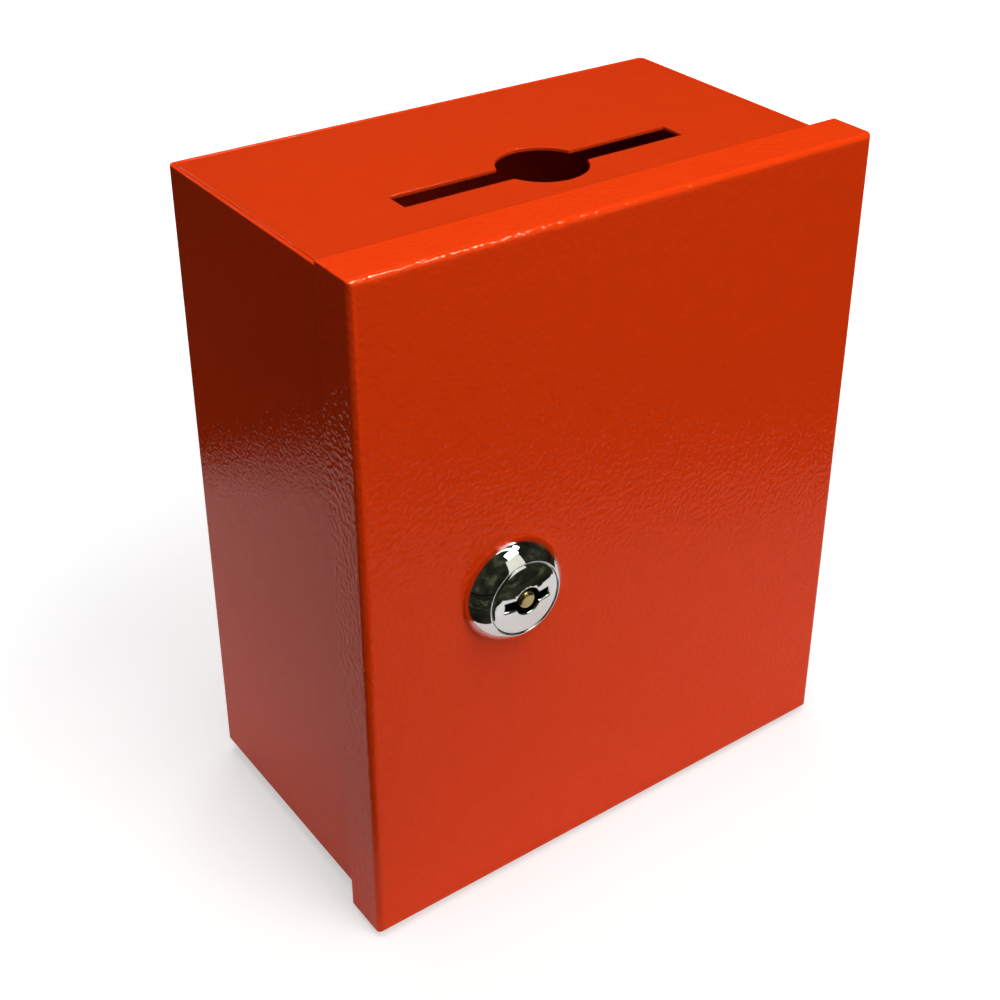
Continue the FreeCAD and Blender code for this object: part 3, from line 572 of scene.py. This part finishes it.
def turned(corners, centre, axis, closed=True, steps=72, angle=tau):
    """Spin corners of (radius, height, rounding) in millimetres about an axis through a centre."""
    shape = bmesh.new()
    verts = [shape.verts.new(centre + (Vector((r, 0, 0)) + axis * h) * MM) for r, h, _ in corners]
    ends = verts[1:] + verts[:1] if closed else verts[1:]
    for pair in zip(verts, ends):
        shape.edges.new(pair)
    for vert, (_, _, rounding) in zip(verts, corners):
        if rounding:
            bmesh.ops.bevel(shape, geom=[vert], offset=rounding * MM, offset_type="OFFSET",
                            affect="VERTICES", segments=ARC_STEPS, profile=0.5, material=-1)
    whole = angle == tau
    bmesh.ops.spin(shape, geom=shape.verts[:] + shape.edges[:], cent=centre, axis=axis,
                   angle=angle, steps=steps, use_merge=whole)
    bmesh.ops.remove_doubles(shape, verts=shape.verts, dist=WELD)
    if not whole:
        bmesh.ops.holes_fill(shape, edges=[edge for edge in shape.edges if edge.is_boundary])
    bmesh.ops.recalc_face_normals(shape, faces=shape.faces)
    return shape


def arc(centre_r, centre_h, radius, start, end, steps):
    """Corners along an arc of an outline, between two angles from the radius."""
    angles = [start + (end - start) * step / steps for step in range(steps + 1)]
    return [(centre_r + radius * cos(a), centre_h + radius * sin(a), 0) for a in angles]


print("front of the door at y =", round(door_low.y / MM, 2), "mm")

# %% [markdown]
# ## Lock head
# The head is a chrome ring with a domed flank, a narrow round lip and a seat in which the plug turns. Its
# outline is three arcs that touch each other, from the edge at the door over the flank to the lip, so
# that the mirror image runs over all of it without a break. Each arc is drawn from the centre that makes
# it meet the one before.

# %% Lock head
HEAD_LIP = 0.30
HEAD_DROP = 1.25  # how far the lip lies below the CAD ring's top
FLANK_ROUND = 11.00
EDGE_ROUND = 3.92
FLANK_FROM = radians(25)
FLANK_TO = radians(55)
PLUG_GAP = 0.15
SEAT_FLOOR = 4.1
CORE_BORE = 8.05
FLANK_STEPS = 14
LIP_STEPS = 10
HEAD_STEPS = 128
housing_low, housing_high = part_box("lock_housing")
plug_low, plug_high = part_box("lock_plug")
lock_middle = Vector((lock_at.x, door_low.y, lock_at.z))
seat_radius = (plug_high.x - plug_low.x) / 2 / MM + PLUG_GAP
lip_r = seat_radius + HEAD_LIP
lip_h = (door_low.y - housing_low.y) / MM - HEAD_DROP - HEAD_LIP
flank_r = lip_r - (FLANK_ROUND - HEAD_LIP) * cos(FLANK_TO)
flank_h = lip_h - (FLANK_ROUND - HEAD_LIP) * sin(FLANK_TO)
edge_r = flank_r + (FLANK_ROUND - EDGE_ROUND) * cos(FLANK_FROM)
edge_h = flank_h + (FLANK_ROUND - EDGE_ROUND) * sin(FLANK_FROM)
head_radius = edge_r + EDGE_ROUND
outline = [(CORE_BORE, 0, 0), (head_radius, 0, 0)]
outline += arc(edge_r, edge_h, EDGE_ROUND, 0, FLANK_FROM, FLANK_STEPS)
outline += arc(flank_r, flank_h, FLANK_ROUND, FLANK_FROM, FLANK_TO, FLANK_STEPS)[1:]
outline += arc(lip_r, lip_h, HEAD_LIP, FLANK_TO, pi, LIP_STEPS)[1:]
outline += [(seat_radius, SEAT_FLOOR, 0), (CORE_BORE, SEAT_FLOOR, 0)]
head = turned(outline, lock_middle, FRONT, steps=HEAD_STEPS)
print("lock head of", round(2 * head_radius, 1), "mm, rim", round(edge_h, 2), "mm")

# %% [markdown]
# ## Wafer grooves
# Without the key, springs push the wafers out into crossed grooves of the housing, and the core can't turn.
# The grooves run through the foot of the head and most of the barrel. A cube whose four sides are extruded
# is a cross of that size. Cutting it out face by face would be long work, so a Boolean modifier does it,
# its result is kept and both helpers are thrown away.

# %% Wafer grooves
WAFER_THROW = 0.8
END_PLAY = 0.3
SIDE_PLAY = 0.2


def wafer_grooves():
    """A closed cross as long as the row of wafers, with room for them to slide out."""
    first_low, first_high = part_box("lock_wafer_1")
    last_low, last_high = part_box("lock_wafer_6")
    half = (first_high.z - first_low.z) / 2 + SIDE_PLAY * MM
    reach = (first_high.x - first_low.x) / 2 + (WAFER_THROW + END_PLAY) * MM
    row = last_high.y - first_low.y + SIDE_PLAY * MM
    cross = bmesh.new()
    bmesh.ops.create_cube(cross, size=1)
    bmesh.ops.scale(cross, vec=(2 * half, row, 2 * half), verts=cross.verts)
    bmesh.ops.translate(cross, vec=((first_low + last_high) / 2).to_tuple(), verts=cross.verts)
    cross.normal_update()
    sides = [face for face in cross.faces if abs(face.normal.y) < 0.5]
    for arm in bmesh.ops.extrude_discrete_faces(cross, faces=sides)["faces"]:
        arm.normal_update()
        bmesh.ops.translate(cross, vec=arm.normal * (reach - half), verts=arm.verts)
    return cross


def cut_out(shape, cutter):
    """Cut one closed shape out of another."""
    held = []
    for solid in (shape, cutter):
        mesh = bpy.data.meshes.new("held")
        solid.to_mesh(mesh)
        solid.free()
        held.append(bpy.data.objects.new("held", mesh))
        scene.collection.objects.link(held[-1])
    cut = held[0].modifiers.new("cut", "BOOLEAN")
    cut.solver = "EXACT"
    cut.object = held[1]
    result = bmesh.new()
    result.from_object(held[0], bpy.context.evaluated_depsgraph_get())
    for solid in held:
        bpy.data.meshes.remove(solid.data)
    return result


head = cut_out(head, wafer_grooves())
print("head:", len(head.faces), "faces, open edges:", sum(edge.is_boundary for edge in head.edges))
finish_piece("lock_head", head, chrome, "lock_housing")

# %% [markdown]
# ## Threaded barrel
# Behind the head the barrel is a tube with a screw thread and two flats that stop it turning in the door.
# A spin with a step along the axis makes a helix, so one tooth of the thread spun many times is the
# whole screw. It is cut to length, the flats are cut and bridged over, the ends are filled round the bore,
# and last come the grooves.

# %% Threaded barrel
THREAD_PITCH = 1.0
THREAD_DEPTH = 0.55
BARREL_FLAT = 10.0
BARREL_WALL = 2.95
RIM_SHEET = 1.5
RIM_WEAR = 0.15
SPIN_STEPS = 48
barrel_radius = CORE_BORE + BARREL_WALL
barrel_back = (housing_high.y - door_low.y) / MM - RIM_SHEET


def cut_away(shape, point, towards):
    """Cut a shape with a plane and drop what lies beyond it."""
    bmesh.ops.bisect_plane(shape, geom=shape.verts[:] + shape.edges[:] + shape.faces[:], dist=WELD,
                           plane_co=point, plane_no=towards, clear_outer=True)


def edges_on(shape, point, across):
    """The edges of one face only that lie in a plane."""
    def lies_in(vert):
        return abs((vert.co - point).dot(across)) < 2 * WELD
    return [edge for edge in shape.edges if edge.is_boundary and all(lies_in(vert) for vert in edge.verts)]


def threaded(radius, depth, pitch, front, back):
    """The outside of a screw about the lock's axis between two depths behind the door's face."""
    turns = int((back - front) / pitch) + 3
    tooth = ((radius - depth, 0), (radius, 0.5), (radius - depth, 1.0))
    shape = bmesh.new()
    start = front - 1.5 * pitch
    verts = [shape.verts.new(lock_middle + (Vector((r, 0, 0)) - FRONT * (start + share * pitch)) * MM)
             for r, share in tooth]
    edges = [shape.edges.new(pair) for pair in zip(verts, verts[1:])]
    bmesh.ops.spin(shape, geom=verts + edges, cent=lock_middle, axis=FRONT, angle=tau * turns,
                   dvec=-FRONT * pitch * MM / SPIN_STEPS, steps=SPIN_STEPS * turns)
    bmesh.ops.remove_doubles(shape, verts=shape.verts, dist=10 * WELD)
    cut_away(shape, lock_middle - FRONT * front * MM, FRONT)
    cut_away(shape, lock_middle - FRONT * back * MM, -FRONT)
    return shape


shape = threaded(barrel_radius, THREAD_DEPTH, THREAD_PITCH, 0.0, barrel_back)
for side in (Vector((1, 0, 0)), Vector((-1, 0, 0))):
    flat = lock_middle + side * BARREL_FLAT * MM
    cut_away(shape, flat, side)
    bmesh.ops.bridge_loops(shape, edges=edges_on(shape, flat, side))
bores = []
for depth in (0.0, barrel_back):
    point = lock_middle - FRONT * depth * MM
    rim = edges_on(shape, point, FRONT)
    circle = bmesh.ops.create_circle(shape, radius=CORE_BORE * MM, segments=SPIN_STEPS,
                                     matrix=Matrix.Translation(point) @ Matrix.Rotation(pi / 2, 4, "X"))
    bore = list({edge for vert in circle["verts"] for edge in vert.link_edges})
    bmesh.ops.triangle_fill(shape, use_beauty=True, edges=rim + bore, normal=FRONT)
    bores += bore
bmesh.ops.bridge_loops(shape, edges=bores)
bmesh.ops.recalc_face_normals(shape, faces=shape.faces)
shape = cut_out(shape, wafer_grooves())
print("barrel:", len(shape.faces), "faces, open edges:", sum(edge.is_boundary for edge in shape.edges))
finish_piece("lock_barrel", shape, zinc, "lock_housing", replace=False)

shape = merged_copy("lock_housing")
cut_away(shape, lock_middle - FRONT * barrel_back * MM, FRONT)
round_off(shape, sharp_edges(shape), RIM_WEAR, 2)
finish_piece("lock_stop_rim", shape, zinc, "lock_housing", replace=False)

# %% [markdown]
# ## Plug and key post
# The plug fills the head. Its keyhole is round with two square wings, and the edges of the keyhole are
# rounded and polished, which is why they show as a bright line. The CAD plug has the true shape, so a copy
# gets only those edges bevelled. The real face is slightly domed, which its mirror image shows, so the flat
# face is cut into a fine grid, and each vertex of it sinks with the square of its distance from the axis.

# %% Plug
KEYHOLE_ROUND = 0.45
RIM_ROUND = 0.8
KEYHOLE_REACH = 8.0
FACE_DOME = 38.0
DOME_RISE = 0.4  # how far the middle of the dome lies above the CAD plug's face
DOME_DEPTH = 1.0  # what moves with the face
GRID_REACH = 10  # lines on each side of the axis
GRID_STEP = 1.0
shape = merged_copy("lock_plug")
face_y = plug_low.y


def face_edges(shape, nearest, farthest):
    """The sharp edges of the plug's face between two distances from the lock's axis."""
    chosen = []
    for edge in sharp_edges(shape):
        away = [(vert.co - lock_middle).xz.length / MM for vert in edge.verts]
        if near_level(edge, 1, face_y) and nearest < min(away) and max(away) < farthest:
            chosen.append(edge)
    return chosen


round_off(shape, face_edges(shape, KEYHOLE_REACH, 2 * KEYHOLE_REACH), RIM_ROUND, 6)
round_off(shape, face_edges(shape, 0, KEYHOLE_REACH), KEYHOLE_ROUND, 5)

for across in (Vector((1, 0, 0)), UP):
    for step in range(-GRID_REACH, GRID_REACH + 1):
        flat = [face for face in shape.faces if all(near_level(edge, 1, face_y) for edge in face.edges)]
        parts = {part for face in flat for part in (*face.verts, *face.edges)}
        bmesh.ops.bisect_plane(shape, geom=[*parts, *flat], dist=WELD, plane_no=across,
                               plane_co=lock_middle + across * step * GRID_STEP * MM)
for vert in shape.verts:
    if vert.co.y < face_y + DOME_DEPTH * MM:
        away = (vert.co - lock_middle).xz.length
        vert.co.y += away ** 2 / (2 * FACE_DOME * MM) - DOME_RISE * MM
plug = finish_piece("chrome_plug", shape, chrome, "lock_plug")
plug.modifiers.new("flat_faces", "WEIGHTED_NORMAL").keep_sharp = True
print("plug:", len(plug.data.polygons), "faces")

# %% Key post
POST_CROWN = 1.0
post_low, post_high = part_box("key_post")
post_radius = (post_high.x - post_low.x) / 2 / MM
post_tip = (door_low.y - post_low.y) / MM
post_root = (door_low.y - post_high.y) / MM
outline = [(0, post_root, 0), (post_radius, post_root, 0), (post_radius, post_tip, POST_CROWN),
           (0, post_tip, 0)]
finish_piece("brass_post", turned(outline, lock_middle, FRONT, closed=False), brass, "key_post", crease=60)
print("post of", round(2 * post_radius, 1), "mm, its tip", round(post_tip, 2), "mm from the door")

# %% [markdown]
# ## Nuts, washers and cam
# A hexagon nut is turned first and milled afterwards: a ring with chamfered rims is spun, then six planes
# cut the flats, which leaves the curved corners of a real nut. The washers are turned, the spring
# washer with a gap, and the punched cam and stop washer are copies with worn edges.

# %% Nuts and washers
STUD_RADIUS = 3.0
BORE_CHAMFER = 0.4
CORNER_SLOPE = 1.15  # how far the chamfer runs in, for each unit that a corner stands out
CORNER_DROP = 0.58  # how far it falls, for each unit that it runs in
NUT_STEPS = 96
WASHER_GAP = radians(8)


def hexagon_nut(node, bore):
    """A turned ring with chamfered rims and six flats, in a CAD nut's place."""
    low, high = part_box(node)
    front = (door_low.y - low.y) / MM
    back = (door_low.y - high.y) / MM
    flats = (high.z - low.z) / 2 / MM
    corner = flats * 2 / sqrt(3)
    inset = corner - (corner - flats) * CORNER_SLOPE
    drop = (corner - inset) * CORNER_DROP
    mouth = bore + BORE_CHAMFER
    outline = [(bore, back + BORE_CHAMFER, 0), (mouth, back, 0), (inset, back, 0), (corner, back + drop, 0),
               (corner, front - drop, 0), (inset, front, 0), (mouth, front, 0),
               (bore, front - BORE_CHAMFER, 0)]
    shape = turned(outline, lock_middle, FRONT, steps=NUT_STEPS)
    for number in range(6):
        turn = pi / 6 + number * pi / 3
        side = Vector((cos(turn), 0, sin(turn)))
        point = lock_middle + side * flats * MM
        cut_away(shape, point, side)
        bmesh.ops.contextual_create(shape, geom=edges_on(shape, point, side))
    bmesh.ops.recalc_face_normals(shape, faces=shape.faces)
    return shape


def ring_corners(node, bore, rounding):
    """The outline of a washer in a CAD washer's place."""
    low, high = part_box(node)
    front = (door_low.y - low.y) / MM
    back = (door_low.y - high.y) / MM
    outer = (high.x - low.x) / 2 / MM
    corners = ((bore, back), (outer, back), (outer, front), (bore, front))
    return [(*corner, rounding) for corner in corners]


finish_piece("barrel_nut", hexagon_nut("lock_nut", barrel_radius), zinc, "lock_nut")
finish_piece("stud_nut", hexagon_nut("cam_nut", STUD_RADIUS), zinc, "cam_nut")
flat_ring = turned(ring_corners("lock_washer", barrel_radius, 0.2), lock_middle, FRONT)
finish_piece("barrel_washer", flat_ring, zinc, "lock_washer")
split_ring = turned(ring_corners("spring_washer", STUD_RADIUS, 0.15), lock_middle, FRONT,
                    angle=tau - WASHER_GAP)
finish_piece("split_washer", split_ring, zinc, "spring_washer")
rounded_copy("lock_cam", zinc, 0.45, "zinc_cam")
rounded_copy("stop_washer", zinc, 0.2, "zinc_stop_washer")
for number in range(1, 7):
    frame["nodes"]["lock_wafer_%d" % number].material_slots[0].material = brass
print("nuts, washers, cam and six wafers")

# %% [markdown]
# ## Hinge pins and feet
# The pins are drawn wire with a riveted, domed head at each end. The feet are moulded rubber with a hollow
# underneath that grips the table. Both are turned.

# %% Hinge pins
PIN_RADIUS = 1.5
RIVET_HIGH = 0.8
RIVET_EDGE = 0.55
CROWN = (1.2, 0.05, 0.3)  # radius, height and rounding
PIN_STEPS = 40
for name in ("upper_hinge_pin", "lower_hinge_pin"):
    low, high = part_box(name)
    head = (high.x - low.x) / 2 / MM
    tall = (high.z - low.z) / MM
    foot = Vector((middle_of(name).x, middle_of(name).y, low.z))
    rivet = [(0, 0, 0), CROWN, (head, RIVET_EDGE, 0.2), (head, RIVET_HIGH, 0), (PIN_RADIUS, RIVET_HIGH, 0)]
    outline = rivet + [(r, tall - h, rounding) for r, h, rounding in reversed(rivet)]
    pin = turned(outline, foot, UP, closed=False, steps=PIN_STEPS)
    finish_piece("steel_" + name, pin, steel, name, crease=50)
print("two pins")

# %% Rubber feet
FOOT_STEPS = 56
HOLLOW = [(0, 0.7, 0), (2.6, 0.7, 0.5), (3.4, 0, 0.4)]  # underneath
NECK = 2.5  # radius in the hole of the sheet
BARB = 3.5  # radius above the sheet
SHEET_GRIP = 1.2
TIP = 1.25
floor_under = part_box("bottom_panel")[0].z / MM
floor_over = floor_under + SHEET_GRIP
for name in ("foot_front_left", "foot_front_right", "foot_back_left", "foot_back_right"):
    low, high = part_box(name)
    pad = (high.x - low.x) / 2 / MM
    tall = (high.z - low.z) / MM
    foot = Vector((middle_of(name).x, middle_of(name).y, low.z))
    outline = HOLLOW + [(pad, 0, 1.1), (pad, floor_under, 0.35), (NECK, floor_under, 0),
                        (NECK, floor_over, 0), (BARB, floor_over, 0.3), (TIP, tall, 0.5), (0, tall, 0)]
    moulded = turned(outline, foot, UP, closed=False, steps=FOOT_STEPS)
    finish_piece("rubber_" + name, moulded, rubber, name)
print("four feet")

# %% [markdown]
# ## Size
# A dressed piece mustn't make the box larger than the CAD model, so both boxes are measured and printed.
# Rounded edges only take material away, so the growth printed here is nought or less.

# %% Size
import json

low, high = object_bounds()
growth = (*(cad_low - low), *(high - cad_high))
print("box grew in mm by", [round(side / MM, 2) for side in growth])
